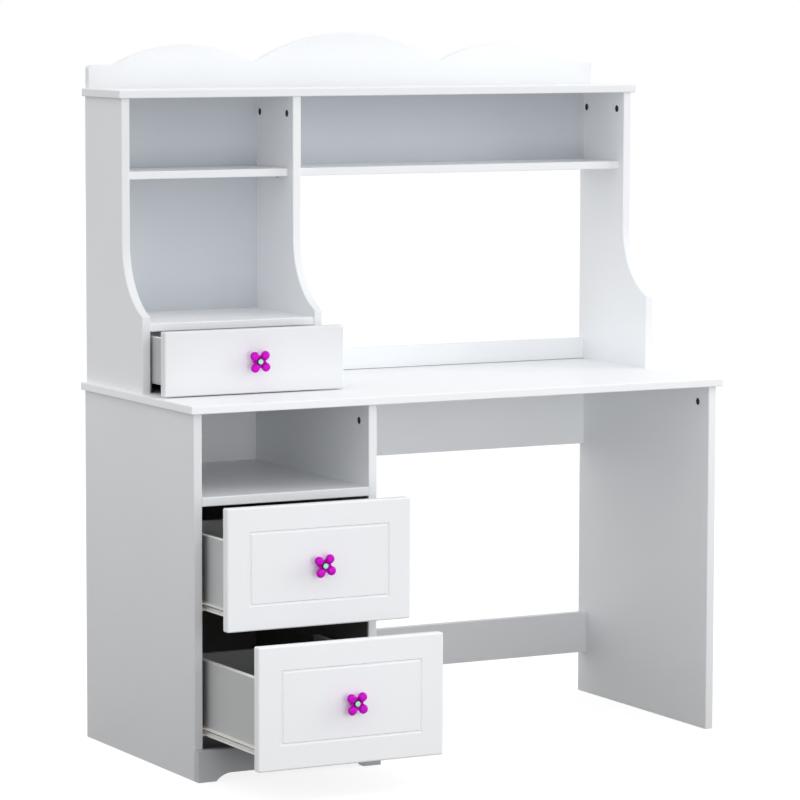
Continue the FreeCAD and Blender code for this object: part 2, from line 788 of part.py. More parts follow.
def hutch_drawer():
    # The bottom sheet is fixed under the sides and slides on two wooden runners.
    name = "hutch_drawer_"
    x0 = hutch_left_out + hutch_front_reveal
    x1 = hutch_divider_out - hutch_front_reveal
    back_y = lower_front - close_gap - hutch_pull
    parts[name + "front"] = drawer_front(x0, x1, back_y, hutch_front_z, hutch_front_height, False)
    knob("hutch", (x0 + x1) / 2, back_y, hutch_front_z + hutch_front_height / 2, hutch_petal_turn)
    box_x0 = hutch_left_in + hutch_slide_gap
    box_x1 = hutch_divider_in - hutch_slide_gap
    box_z0 = hutch_front_z + hutch_side_rise
    box_z1 = box_z0 + hutch_side_height
    end_y = back_y + hutch_box_length
    parts[name + "left_side"] = board(box_x0, box_x0 + box_board, back_y, end_y, box_z0, box_z1)
    parts[name + "right_side"] = board(box_x1 - box_board, box_x1, back_y, end_y, box_z0, box_z1)
    parts[name + "back"] = board(
        box_x0 + box_board, box_x1 - box_board, end_y - box_board, end_y, box_z0, box_z1
    )
    sheet_z = box_z0 - bottom_sheet
    parts[name + "bottom"] = board(box_x0, box_x1, back_y, end_y, sheet_z, box_z0)
    runner_z = sheet_z - wood_runner_gap
    runner_y = lower_front + wood_runner_setback
    runners = []
    for panel_x, side, upright in (
        (hutch_left_in, 1, "hutch_left_side"),
        (hutch_divider_in, -1, "hutch_divider"),
    ):
        ledge_x0, ledge_x1 = sorted((panel_x, panel_x + side * (hutch_slide_gap + box_board)))
        guide_face = panel_x + side * (hutch_slide_gap - guide_play)
        guide_x0, guide_x1 = sorted((panel_x, guide_face))
        ledge = board(ledge_x0, ledge_x1, runner_y, back_face, desk_height, runner_z)
        guide = board(guide_x0, guide_x1, runner_y, back_face, runner_z, runner_z + guide_height)
        runner = ledge.fuse(guide).removeSplitter()
        for y in (runner_y + dowel_inset, back_face - dowel_inset):
            start = V(guide_face, y, runner_z + guide_height / 2)
            cabinet_screws.append(countersunk_screw(start, V(-side, 0, 0)))
            bore = countersunk_screw(start, V(-side, 0, 0), screw_fit)
            runner = runner.cut(bore)
            drill(upright, bore)
        runners.append(runner)
    parts["hutch_drawer_runners"] = Part.makeCompound(runners)


# Drawers
hutch_drawer()
desk_drawer("upper", upper_front_z, upper_pull, upper_petal_turn)
desk_drawer("lower", lower_front_z, lower_pull, lower_petal_turn)
parts["cabinet_runner_screws"] = Part.makeCompound(cabinet_screws)

# Holes, then one file for each piece
for name, cutters in holes.items():
    parts[name] = parts[name].cut(cutters)
for name, shape in parts.items():
    shape.exportStep(os.path.join("parts", name + ".step"))
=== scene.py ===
"""Finishes, knobs, screws and studio of a white student desk with a hutch, around its fixed frame."""

import json
import math

import bmesh
import bpy
from bpy.props import FloatProperty, FloatVectorProperty, IntProperty, PointerProperty
from bpy.types import NodeSocket, Operator, Panel, PropertyGroup
from mathutils import Matrix, Vector


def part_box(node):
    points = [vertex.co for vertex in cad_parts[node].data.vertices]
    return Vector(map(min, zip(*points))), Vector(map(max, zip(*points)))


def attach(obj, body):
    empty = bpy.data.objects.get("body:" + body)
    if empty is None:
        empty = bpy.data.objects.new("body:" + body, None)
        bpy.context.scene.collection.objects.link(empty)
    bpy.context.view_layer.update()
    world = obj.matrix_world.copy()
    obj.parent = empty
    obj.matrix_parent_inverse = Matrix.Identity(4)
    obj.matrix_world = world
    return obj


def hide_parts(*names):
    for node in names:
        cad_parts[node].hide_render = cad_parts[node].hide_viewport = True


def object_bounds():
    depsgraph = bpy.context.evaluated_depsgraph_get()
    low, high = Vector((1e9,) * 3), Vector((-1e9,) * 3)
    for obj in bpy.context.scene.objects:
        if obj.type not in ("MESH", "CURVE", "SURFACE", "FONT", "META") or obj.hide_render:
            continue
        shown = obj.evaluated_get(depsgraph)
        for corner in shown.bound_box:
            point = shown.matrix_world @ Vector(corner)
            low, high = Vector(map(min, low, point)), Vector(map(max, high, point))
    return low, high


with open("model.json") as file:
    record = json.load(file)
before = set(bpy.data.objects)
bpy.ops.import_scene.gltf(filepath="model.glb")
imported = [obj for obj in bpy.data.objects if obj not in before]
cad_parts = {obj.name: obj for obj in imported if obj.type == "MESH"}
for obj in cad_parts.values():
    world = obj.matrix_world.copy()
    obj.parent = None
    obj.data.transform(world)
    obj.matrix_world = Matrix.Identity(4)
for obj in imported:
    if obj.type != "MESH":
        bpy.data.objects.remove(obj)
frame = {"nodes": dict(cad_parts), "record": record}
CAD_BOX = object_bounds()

bl_info = {
    "name": "Student Desk with Hutch",
    "version": (1, 0, 0),
    "blender": (4, 5, 0),
    "location": "View3D > Sidebar > Desk",
    "description": "Finishes, flower knobs, screws and studio of a white student desk",
    "category": "Object",
}

MM = 0.001

DRAWERS = ("hutch", "upper", "lower")
DESK_DRAWERS = ("upper", "lower")
BACKS = ("hutch_left_back", "hutch_right_back")
# Boards whose faces inside the drawer bay take a near-black painted shade.
BAY_BOARDS = ("desk_left_side", "desk_divider", "pedestal_shelf", "pedestal_back")
# Boards that darken towards the floor with painted shade.
FLOOR_SHADED_BOARDS = ("desk_left_side", "desk_right_side", "plinth", "lower_stretcher")

# Painted light and shade: how much paler or darker the lacquer is on boards that have a finish of their
# own.
BOARD_SHADING_TONES = {
    "desk_top": 1.07,
    "desk_right_side": 1.08,
    "desk_left_side": 0.92,
    "desk_divider": 1.0,
    "knee_apron": 1.08,
    "lower_stretcher": 1.0,
    "plinth": 0.68,
    "pedestal_shelf": 0.97,
    "pedestal_back": 0.88,
    "low_shelf": 1.08,
    "hutch_low_rail": 1.05,
    "hutch_crown": 1.03,
    "hutch_left_side": 0.97,
    "hutch_right_side": 1.04,
    "hutch_divider": 1.03,
    "hutch_drawer_front": 0.91,
}
# Painted light and shade on the foil: how pale it is outside and inside each drawer box.
FOIL_SHADING_TONES = {"hutch": (1.0, 1.0), "upper": (0.97, 1.2), "lower": (0.86, 0.45)}

# Painted marks: their soft edge, painted shade on the bay's faces and towards the floor, and a painted
# shadow under the runners' upper lip.
SKIN = 0.2 * MM
BAY_FADE = 8 * MM
FLOOR_SHADE_HEIGHT = 700 * MM
FLOOR_SHADE_TONE = 0.78
CHANNEL_LIP = 4 * MM
LIP_SHADOW_BAND = 3.5 * MM

# Points nearer than the weld are one point, and those within the face band lie on one flat face.
WELD = 0.001 * MM
FACE_BAND = 0.01 * MM

# How finely a knob is cut, and the places of the button's two materials.
FLOWER_STEPS = 160
FACE_RINGS = 26
ROUND_STEPS = 48
DOME_RINGS = 8
OUTLINE_HALVINGS = 40
PETAL_SHARE = "petal_share"
COLLAR, FACE = 0, 1

# A screw's neck is a share of its head, its core of its neck, its point and thread of its core.
NECK_SHARE = 0.5
CORE_SHARE = 0.7
POINT_SHARE = 0.35
THREAD_START = 0.5
THREAD_STEPS = 14
WIRE_SIDES = 3
SCREW_WAY = "way"
SHEET_SCREW_SHARES = (1 / 6, 1 / 2, 5 / 6)
SCREW_INPUTS = (
    "Head Radius",
    "Neck Radius",
    "Head Height",
    "Shank Length",
    "Recess Length",
    "Recess Width",
    "Recess Depth",
    "Thread Radius",
    "Thread Turns",
    "Sides",
)


def colour_property(name, description, default):
    return FloatVectorProperty(
        name=name, description=description, default=default, subtype="COLOR", size=3, min=0.0, max=1.0
    )


def length_property(name, description, default):
    return FloatProperty(name=name, description=description, default=default, unit="LENGTH", precision=5)


def angle_property(name, description, default):
    return FloatProperty(
        name=name, description=description, default=default, subtype="ANGLE", unit="ROTATION"
    )


def place_property(name, description, default):
    return FloatVectorProperty(
        name=name,
        description=description,
        default=default,
        subtype="TRANSLATION",
        unit="LENGTH",
        precision=5,
    )


def share_property(name, description, default):
    return FloatProperty(
        name=name, description=description, default=default, subtype="FACTOR", min=0.0, max=1.0
    )


def amount_property(name, description, default):
    return FloatProperty(name=name, description=description, default=default, min=0.0)


def power_property(name, description, default):
    return FloatProperty(name=name, description=description, default=default, min=0.0, unit="POWER")


class DeskColours(PropertyGroup):
    """Colours of the finishes."""

    lacquer: colour_property("Lacquer", "Satin white paint of the boards", (0.86, 0.875, 0.895))
    # The backs' blue-grey is painted shade.
    shaded_backing: colour_property("Shaded backing", "Painted backs of the hutch", (0.605, 0.636, 0.675))
    # The foil's grey is partly its own colour and partly painted shade on the drawer sides.
    foil: colour_property("Foil", "Paper foil of the drawer boxes", (0.58, 0.585, 0.59))
    sheet: colour_property("Sheet", "Thin drawer bottoms", (0.50, 0.505, 0.51))
    # Painted highlight on the upper edges of the drawer sides.
    edge_highlight: colour_property("Edge highlight", "Upper edges of the drawer sides", (0.90, 0.90, 0.90))
    # Near-black painted shade on the faces inside the drawer bay.
    bay_shade: colour_property("Bay shade", "Unpainted inside of the drawer bay", (0.10, 0.095, 0.09))
    powder_coat: colour_property("Powder coat", "Steel drawer runners", (0.86, 0.85, 0.82))
    # Painted shadow under the upper lip of the runners' channel.
    lip_shadow: colour_property("Lip shadow", "Streak along the runners", (0.12, 0.11, 0.085))
    nylon: colour_property("Nylon", "Runner rollers", (0.80, 0.78, 0.72))
    petal: colour_property("Petal", "Flower knobs", (0.60, 0.0, 0.56))
    # Painted shade round the knob's pale face, on the collar that holds it.
    collar_shade: colour_property("Collar shade", "Dark collar round the middle of a knob", (0.07, 0.004, 0.05))
    mint: colour_property("Mint", "Pale face in the middle of a knob", (0.40, 0.86, 0.60))
    zinc: colour_property("Zinc", "Plated screws, bolts and shelf pins", (0.62, 0.62, 0.63))
    casting: colour_property("Casting", "Dark cam locks", (0.030, 0.030, 0.032))
    beech: colour_property("Beech", "Dowels and the small drawer's runners", (0.60, 0.42, 0.25))


class DeskKnobSizes(PropertyGroup):
    """Sizes of a flower knob, from its drawer front outwards."""

    petal_count: IntProperty(name="Petals", description="Petals round the middle", default=4, min=3, max=8)
    petal_radius: length_property("Petal radius", "Radius of one round petal", 9.1 * MM)
    petal_offset: length_property("Petal offset", "From the knob's middle to a petal's middle", 16.4 * MM)
    petal_swell: length_property("Petal swell", "How far a petal's face domes", 0.5 * MM)
    plate: length_property("Plate", "Thickness of the petals", 12.0 * MM)
    rim: length_property("Rim", "Rounding of the petals' rims", 5.5 * MM)
    hub_radius: length_property("Hub radius", "Radius where the petals meet", 12.4 * MM)
    hub_drop: length_property("Hub drop", "How far the hub lies behind the petals' faces", 7.5 * MM)
    neck_blend: length_property("Neck blend", "Softness of the notches between petals", 1.0 * MM)
    stem_radius: length_property("Stem radius", "Radius of the stem behind the petals", 6.0 * MM)
    collar_radius: length_property("Collar radius", "Radius of the dark collar's foot", 7.2 * MM)
    lip_radius: length_property("Lip radius", "Radius of the dark collar's lip", 5.9 * MM)
    lip_round: length_property("Lip round", "Rounding of the lip", 0.4 * MM)
    face_radius: length_property("Face radius", "Radius of the pale face", 5.3 * MM)
    face_dome: length_property("Face dome", "Rise of the pale face", 1.3 * MM)
    face_set: length_property("Face set", "How deep the pale face sits in the lip", 0.2 * MM)
    hutch_turn: angle_property("Hutch turn", "Small drawer's petals from the diagonals", math.radians(3))
    upper_turn: angle_property("Upper turn", "Upper drawer's petals from the diagonals", math.radians(8))
    lower_turn: angle_property("Lower turn", "Lower drawer's petals from the diagonals", math.radians(4))


class DeskScrewSizes(PropertyGroup):
    """Sizes of the countersunk screws and of where the drawer boxes hold them."""

    recess_length: length_property("Recess length", "Length of the driver's cross", 4.0 * MM)
    recess_width: length_property("Recess width", "Width of the driver's cross", 0.9 * MM)
    recess_depth: length_property("Recess depth", "Depth of the driver's cross", 0.9 * MM)
    head_proud: length_property("Head stand", "How far a box screw's head stands out", 0.25 * MM)
    thread_radius: length_property("Thread radius", "Radius of the thread's wire", 0.35 * MM)
    corner_inset: length_property("Corner inset", "From a drawer back's edge to its screws", 26.0 * MM)
    thread_turns: amount_property("Thread turns", "Turns of the thread", 7.0)
    sides: IntProperty(name="Sides", description="Sides of a round head", default=24, min=8, max=64)


class DeskStudio(PropertyGroup):
    """Camera, lamps and floor."""

    camera_offset: place_property(
        "Camera offset",
        "From the desk top's front left upper corner to the camera",
        (-3.13825, -6.70963, 0.794),
    )
    camera_yaw: angle_property("Camera yaw", "Turn about the upright axis", -0.49101)
    camera_pitch: angle_property("Camera pitch", "Tilt below the horizon is negative", -0.10509)
    camera_roll: angle_property("Camera roll", "Turn about the line of sight", 0.0024)
    camera_lens: FloatProperty(
        name="Lens",
        description="Focal length for a 36 mm wide image",
        default=175.886,
        subtype="DISTANCE_CAMERA",
    )
    floor_size: length_property("Floor size", "Side of the square floor", 40.0)
    floor_bounce: share_property("Floor bounce", "Share of light that the floor sends back", 0.25)
    floor_glow: share_property("Floor glow", "White that the camera sees in full shade", 0.86)
    floor_shade: share_property("Floor shade", "How much the floor shows light and shade", 0.22)
    shade_start: length_property("Shade start", "From the bay's front to the dark floor", 200.0 * MM)
    room_light: amount_property("Room light", "Even light from all round", 0.905)
    backdrop_light: amount_property("Backdrop light", "More light from behind the desk", 0.50)
    key_power: power_property("Key power", "Large lamp on the right", 85.0)
    key_size: length_property("Key size", "Side of the large lamp", 3.0)
    key_place: place_property("Key place", "Place of the large lamp", (4.4, -1.6, 2.4))
    fill_power: power_property("Fill power", "Small lamp low in front", 21.5)
    fill_size: length_property("Fill size", "Side of the small lamp", 1.2)
    fill_place: place_property("Fill place", "Place of the small lamp", (-0.6, -3.0, 0.7))


class Nodes:
    """Nodes of one tree, each made with its settings, values and links."""

    def __init__(self, tree):
        self.tree = tree

    def node(self, kind, inputs=None, **settings):
        node = self.tree.nodes.new(kind)
        for key, value in settings.items():
            setattr(node, key, value)
        for name, value in (inputs or {}).items():
            self.feed(node.inputs[name], value)
        return node

    def feed(self, socket, value):
        if isinstance(value, NodeSocket):
            self.tree.links.new(value, socket)
        else:
            socket.default_value = value

    def times(self, first, second):
        return self.node("ShaderNodeMath", {0: first, 1: second}, operation="MULTIPLY").outputs[0]


class Finish(Nodes):
    """A procedural material: even values sit on its shader, and patterns are linked to it."""

    def __init__(self, name, colour, roughness, values=None):
        self.material = bpy.data.materials.new(name)
        self.material.use_nodes = True
        super().__init__(self.material.node_tree)
        self.shader = self.tree.nodes["Principled BSDF"]
        self.colour = tuple(colour)
        self.shader.inputs["Base Color"].default_value = (*self.colour, 1.0)
        self.shader.inputs["Roughness"].default_value = roughness
        for socket, value in (values or {}).items():
            self.shader.inputs[socket].default_value = value
        self.place = self.node("ShaderNodeTexCoord").outputs["Object"]
        self.x, self.y, self.z = self.node("ShaderNodeSeparateXYZ", {"Vector": self.place}).outputs

    def stretched(self, x, y, z):
        """Object coordinates with a scale for each axis."""
        return self.node("ShaderNodeMapping", {"Vector": self.place, "Scale": (x, y, z)}).outputs["Vector"]

    def noise(self, scale=1.0, detail=2.0, place=None):
        inputs = {"Vector": place or self.place, "Scale": scale, "Detail": detail}
        return self.node("ShaderNodeTexNoise", inputs).outputs["Fac"]

    def spread(self, source, low=0.0, high=1.0, floor=0.3, ceiling=0.7):
        """Stretch a source from floor and ceiling, which suit a noise, to low and high."""
        inputs = {"Value": source, "From Min": floor, "From Max": ceiling, "To Min": low, "To Max": high}
        return self.node("ShaderNodeMapRange", inputs).outputs["Result"]

    def between(self, value, low, high, soft=SKIN):
        """One where a value lies between two bounds, nought outside them."""
        rise = self.spread(value, floor=low - soft, ceiling=low)
        fall = self.spread(value, low=1.0, high=0.0, floor=high, ceiling=high + soft)
        return self.times(rise, fall)

    def mix(self, share, first, second):
        first, second = (
            colour if isinstance(colour, NodeSocket) else (*colour, 1.0) for colour in (first, second)
        )
        return self.node("ShaderNodeMix", {0: share, 6: first, 7: second}, data_type="RGBA").outputs[2]

    def shade(self, factor, colour=None):
        return tuple(min(1.0, channel * factor) for channel in colour or self.colour)

    def paint(self, colour):
        self.feed(self.shader.inputs["Base Color"], colour)
        return colour

    def tint(self, source, dark, pale):
        """Paint with two shades of the finish's own colour."""
        return self.paint(self.mix(self.spread(source), self.shade(dark), self.shade(pale)))

    def gloss(self, source, low, high):
        self.feed(self.shader.inputs["Roughness"], self.spread(source, low, high))

    def bump(self, height, depth):
        inputs = {"Height": height, "Distance": depth, "Strength": 1.0}
        self.feed(self.shader.inputs["Normal"], self.node("ShaderNodeBump", inputs).outputs["Normal"])


def satin_lacquer(colours, name="satin_lacquer", shading_tone=1.0, floor_shaded=False, bay=None):
    """Sprayed paint with faint clouds, a fine orange peel and uneven gloss.

    Standing boards darken towards the floor with painted shade, and faces in the drawer bay turn near
    black with painted shade.
    """
    # The tone pales or darkens the lacquer: painted light and shade on this board.
    colour = tuple(shading_tone * channel for channel in colours.lacquer)
    finish = Finish(name, colour, roughness=0.42, values={"Specular IOR Level": 0.42})
    sprayed = finish.tint(finish.noise(scale=4.5, detail=3.0), dark=0.985, pale=1.005)
    finish.gloss(finish.noise(scale=60.0, detail=3.0), low=0.38, high=0.48)
    finish.bump(finish.noise(scale=650.0), depth=0.05 * MM)
    if floor_shaded:
        # Painted shade: the board darkens towards the floor.
        floor_shade_share = finish.spread(finish.z, low=1.0, high=0.0, floor=0.0, ceiling=FLOOR_SHADE_HEIGHT)
        sprayed = finish.paint(finish.mix(floor_shade_share, sprayed, finish.shade(FLOOR_SHADE_TONE)))
    if bay:
        low, high = bay
        # Painted shade: the faces inside the drawer bay turn near black, fading in from the front.
        shade_mottle = finish.spread(finish.noise(scale=420.0, detail=4.0))
        dark, pale = (finish.shade(factor, colours.bay_shade) for factor in (0.8, 1.25))
        bay_shade_paint = finish.mix(shade_mottle, dark, pale)
        across = finish.times(
            finish.between(finish.x, low.x, high.x), finish.between(finish.z, low.z, high.z)
        )
        along = finish.between(finish.y, low.y + BAY_FADE, high.y, soft=BAY_FADE)
        finish.paint(finish.mix(finish.times(across, along), sprayed, bay_shade_paint))
    return finish.material


def painted_backing(colours):
    """Thin sheet under one coat of paint, grey with painted shade: faint roller marks up and down and a
    duller skin.
    """
    finish = Finish("painted_backing", colours.shaded_backing, roughness=0.55, values={"Specular IOR Level": 0.3})
    marks = finish.noise(detail=3.0, place=finish.stretched(x=240.0, y=240.0, z=9.0))
    finish.tint(finish.noise(scale=6.0, detail=3.0), dark=0.98, pale=1.01)
    finish.gloss(marks, low=0.5, high=0.62)
    finish.bump(marks, depth=0.05 * MM)
    return finish.material


def printed_foil(colours, prefix):
    """Paper foil with a fine grain along the drawer, painted light or shade inside and a painted highlight
    on the upper edges.
    """
    # Both tones are painted light and shade: paler or darker outside and inside each box.
    outside, inside = FOIL_SHADING_TONES[prefix]
    colour = tuple(outside * channel for channel in colours.foil)
    finish = Finish(prefix + "_foil", colour, roughness=0.5, values={"Specular IOR Level": 0.35})
    grain = finish.noise(detail=4.0, place=finish.stretched(x=420.0, y=14.0, z=420.0))
    foil = finish.tint(grain, dark=0.97, pale=1.01)
    inner_left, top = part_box(prefix + "_drawer_left_side")[1].xz
    inner_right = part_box(prefix + "_drawer_right_side")[0].x
    within = finish.between(finish.x, inner_left, inner_right)
    # Painted light or shade on the faces inside the box.
    shaded_inside = finish.mix(within, foil, finish.shade(inside, colours.foil))
    # Painted highlight along the upper edges of the drawer sides.
    upper_edge = finish.between(finish.z, top - SKIN, top + SKIN)
    finish.paint(finish.mix(upper_edge, shaded_inside, colours.edge_highlight))
    finish.gloss(grain, low=0.44, high=0.58)
    finish.bump(grain, depth=0.06 * MM)
    return finish.material


def fibre_sheet(colours):
    """Thin fibreboard: short fibres and faint clouds under a pale wash."""
    finish = Finish("fibre_sheet", colours.sheet, roughness=0.62, values={"Specular IOR Level": 0.3})
    fibres = finish.noise(scale=900.0, detail=3.0, place=finish.stretched(x=1.0, y=0.35, z=1.0))
    clouds = finish.noise(scale=18.0, detail=4.0)
    finish.tint(clouds, dark=0.95, pale=1.03)
    finish.gloss(clouds, low=0.55, high=0.68)
    finish.bump(fibres, depth=0.08 * MM)
    return finish.material


def powder_coat(colours, prefix):
    """Baked powder: a pebbled skin with slight yellowing, and a painted shadow below the channel's upper
    lip.
    """
    values = {"Specular IOR Level": 0.5}
    finish = Finish(prefix + "_powder_coat", colours.powder_coat, roughness=0.4, values=values)
    pebbles = finish.noise(scale=1400.0)
    baked = finish.tint(finish.noise(scale=30.0, detail=3.0), dark=0.93, pale=1.03)
    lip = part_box(prefix + "_drawer_runners")[1].z - CHANNEL_LIP
    # Painted shadow: a dark streak just under the channel's upper lip.
    shadow_breakup = finish.noise(detail=3.0, place=finish.stretched(x=90.0, y=26.0, z=90.0))
    band = finish.between(finish.z, lip - LIP_SHADOW_BAND, lip, soft=2 * SKIN)
    lip_shadow_mask = finish.times(band, finish.spread(shadow_breakup, low=0.75, high=1.0))
    finish.paint(finish.mix(lip_shadow_mask, baked, colours.lip_shadow))
    finish.gloss(pebbles, low=0.32, high=0.46)
    finish.bump(pebbles, depth=0.05 * MM)
    return finish.material


def moulded_nylon(colours):
    """Milky plastic with faint marks of its mould."""
    values = {"Subsurface Weight": 0.15, "Subsurface Scale": 2 * MM}
    finish = Finish("moulded_nylon", colours.nylon, roughness=0.38, values=values)
    marks = finish.noise(scale=1100.0)
    finish.tint(finish.noise(scale=250.0), dark=0.95, pale=1.03)
    finish.gloss(marks, low=0.32, high=0.45)
    finish.bump(marks, depth=0.02 * MM)
    return finish.material


def glossy_petal(colours):
    """Moulded plastic with slow flow marks, and painted shade: darker in the hub and round the rims than
    on the crowns.
    """
    values = {"Coat Weight": 0.05, "Coat Roughness": 0.08, "Specular IOR Level": 0.12}
    finish = Finish("glossy_petal", colours.petal, roughness=0.28, values=values)
    flow = finish.tint(finish.noise(scale=55.0, detail=3.0), dark=0.95, pale=1.15)
    crown = finish.node("ShaderNodeAttribute", attribute_name=PETAL_SHARE).outputs["Fac"]
    # Painted shade in the hub and round the rims, paler crowns.
    finish.paint(finish.mix(finish.spread(crown, floor=0.0, ceiling=0.6), finish.shade(0.85), flow))
    finish.gloss(finish.noise(scale=300.0), low=0.22, high=0.34)
    finish.bump(finish.noise(scale=500.0, detail=1.0), depth=0.02 * MM)
    return finish.material


def dark_collar(colours):
    """Glossy plastic with slow flow marks, darkened to a painted shade round the pale face."""
    values = {"Coat Weight": 0.3, "Coat Roughness": 0.1}
    finish = Finish("dark_collar", colours.collar_shade, roughness=0.3, values=values)
    flow = finish.noise(scale=160.0, detail=3.0)
    finish.tint(flow, dark=0.8, pale=1.2)
    finish.gloss(flow, low=0.25, high=0.36)
    finish.bump(flow, depth=0.02 * MM)
    return finish.material


def pearl_face(colours):
    """Pale plastic with a pearly swirl under a clear coat."""
    values = {"Coat Weight": 0.3, "Coat Roughness": 0.05, "Sheen Weight": 0.1}
    finish = Finish("pearl_face", colours.mint, roughness=0.25, values=values)
    swirl = finish.noise(scale=240.0, detail=3.0)
    finish.tint(swirl, dark=0.93, pale=1.06)
    finish.gloss(swirl, low=0.2, high=0.3)
    finish.bump(swirl, depth=0.015 * MM)
    return finish.material


def plated_zinc(colours):
    """Bright plating with fine drawn scratches and dull patches."""
    finish = Finish("plated_zinc", colours.zinc, roughness=0.34, values={"Metallic": 1.0})
    scratches = finish.noise(detail=3.0, place=finish.stretched(x=2600.0, y=2600.0, z=260.0))
    finish.tint(finish.noise(scale=420.0, detail=3.0), dark=0.82, pale=1.08)
    finish.gloss(scratches, low=0.26, high=0.46)
    finish.bump(scratches, depth=0.02 * MM)
    return finish.material


def dark_casting(colours):
    """Dull cast metal with fine pits."""
    finish = Finish("dark_casting", colours.casting, roughness=0.55, values={"Metallic": 0.6})
    pits = finish.noise(scale=900.0, detail=3.0)
    finish.tint(pits, dark=0.7, pale=1.3)
    finish.gloss(pits, low=0.48, high=0.66)
    finish.bump(pits, depth=0.05 * MM)
    return finish.material


def planed_beech(colours):
    """Long growth bands with short darker flecks along the grain."""
    finish = Finish("planed_beech", colours.beech, roughness=0.55, values={"Specular IOR Level": 0.3})
    bands = finish.noise(detail=3.0, place=finish.stretched(x=110.0, y=5.0, z=110.0))
    flecks = finish.noise(detail=1.0, place=finish.stretched(x=900.0, y=130.0, z=900.0))
    warm = finish.tint(bands, dark=0.82, pale=1.12)
    fleck_share = finish.spread(flecks, low=0.0, high=0.6, floor=0.60, ceiling=0.68)
    finish.paint(finish.mix(fleck_share, warm, finish.shade(0.6)))
    finish.gloss(bands, low=0.48, high=0.62)
    finish.bump(bands, depth=0.06 * MM)
    return finish.material


def drawer_bay():
    """Lowest and highest corner of the space behind the desk drawers."""
    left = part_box("desk_left_side")[1].x
    right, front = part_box("desk_divider")[0].xy
    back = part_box("pedestal_back")[0].y
    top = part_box("pedestal_shelf")[0].z
    return Vector((left, front, 0.0)), Vector((right, back, top))


def nodes_in_slot(slot, prefix=""):
    """Frame nodes of one material slot, and of one drawer where its prefix is given."""
    nodes = [part["node"] for part in frame["record"]["subparts"] if part["material_slot"] == slot]
    return [name for name in nodes if name.startswith(prefix)]


def dress(nodes, material):
    """A frame node keeps its mesh and takes the finish in every slot."""
    for name in nodes:
        mesh = frame["nodes"][name].data
        if not mesh.materials:
            mesh.materials.append(material)
        for index in range(len(mesh.materials)):
            mesh.materials[index] = material


def new_piece(name, mesh, materials, body, replaced=()):
    """Show a finished mesh, which rides on a body and may stand for frame nodes."""
    piece = bpy.data.objects.new(name, mesh)
    bpy.context.scene.collection.objects.link(piece)
    for material in materials:
        mesh.materials.append(material)
    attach(piece, body)
    if replaced:
        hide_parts(*replaced)


class RingBuilder:
    """A mesh made of rings of points about an axis that runs out of a drawer front."""

    def __init__(self, place):
        self.mesh = bmesh.new()
        self.place = place
        self.last = None

    def ring(self, points, material=0):
        """Add a ring of (across, up, out) points, where out is towards the front of the desk."""
        ring = [self.mesh.verts.new(self.place + Vector((x, -out, z))) for x, z, out in points]
        if self.last:
            for index, vertex in enumerate(ring):
                following = (index + 1) % len(ring)
                corners = (self.last[index], self.last[following], ring[following], vertex)
                self.mesh.faces.new(corners).material_index = material
        self.last = ring

    def cap(self, material=0):
        """Close the last ring with triangles to its middle."""
        middle = self.mesh.verts.new(sum((vertex.co for vertex in self.last), Vector()) / len(self.last))
        for index, vertex in enumerate(self.last):
            following = self.last[(index + 1) % len(self.last)]
            self.mesh.faces.new((vertex, following, middle)).material_index = material
        self.last = None

    def finish(self, name):
        bmesh.ops.remove_doubles(self.mesh, verts=self.mesh.verts, dist=WELD)
        bmesh.ops.recalc_face_normals(self.mesh, faces=self.mesh.faces)
        for face in self.mesh.faces:
            face.smooth = True
        mesh = bpy.data.meshes.new(name)
        self.mesh.to_mesh(mesh)
        self.mesh.free()
        return mesh


def circle(radius, out, steps=ROUND_STEPS):
    angles = [index * math.tau / steps for index in range(steps)]
    return [(radius * math.cos(angle), radius * math.sin(angle), out) for angle in angles]


def quarter_round(share):
    """Height of a quarter circle over its run, both from 0 to 1."""
    return math.sqrt(1 - (1 - min(1.0, max(0.0, share))) ** 2)


class Flower:
    """Outline and faces of a knob's plate: round petals about a lower hub."""

    def __init__(self, sizes, turn):
        self.sizes = sizes
        step = math.tau / sizes.petal_count
        angles = [turn + (index + 0.5) * step for index in range(sizes.petal_count)]
        offset = sizes.petal_offset
        self.petals = [(offset * math.cos(angle), offset * math.sin(angle)) for angle in angles]

    def petal_depth(self, x, z):
        """Distance inside the nearest petal's outline."""
        return self.sizes.petal_radius - min(math.hypot(x - px, z - pz) for px, pz in self.petals)

    def depth(self, x, z):
        """Distance inside the whole outline, with soft notches where hub and petals meet."""
        inside = [self.sizes.petal_radius - math.hypot(x - px, z - pz) for px, pz in self.petals]
        inside.append(self.sizes.hub_radius - math.hypot(x, z))
        highest = max(inside)
        blend = self.sizes.neck_blend
        return highest + blend * math.log(sum(math.exp((value - highest) / blend) for value in inside))

    def reach(self, angle):
        """How far the outline reaches in one direction, found by halving."""
        low, high = 0.0, self.sizes.petal_offset + 2 * self.sizes.petal_radius
        for _ in range(OUTLINE_HALVINGS):
            middle = (low + high) / 2
            if self.depth(middle * math.cos(angle), middle * math.sin(angle)) > 0:
                low = middle
            else:
                high = middle
        return low

    def front(self, x, z):
        """Height of the front face over the plate's middle."""
        sizes = self.sizes
        petal = self.petal_depth(x, z)
        edge_share = max(0.0, 1 - petal / sizes.petal_radius)
        rise = sizes.hub_drop - sizes.petal_swell * edge_share ** 2
        hub = (sizes.plate / 2 - sizes.hub_drop) * quarter_round(self.depth(x, z) / sizes.rim)
        return hub + rise * quarter_round(petal / sizes.rim)

    def back(self, x, z):
        """Height of the back face, which lies behind the plate's middle."""
        return -self.sizes.plate / 2 * quarter_round(self.depth(x, z) / self.sizes.rim)


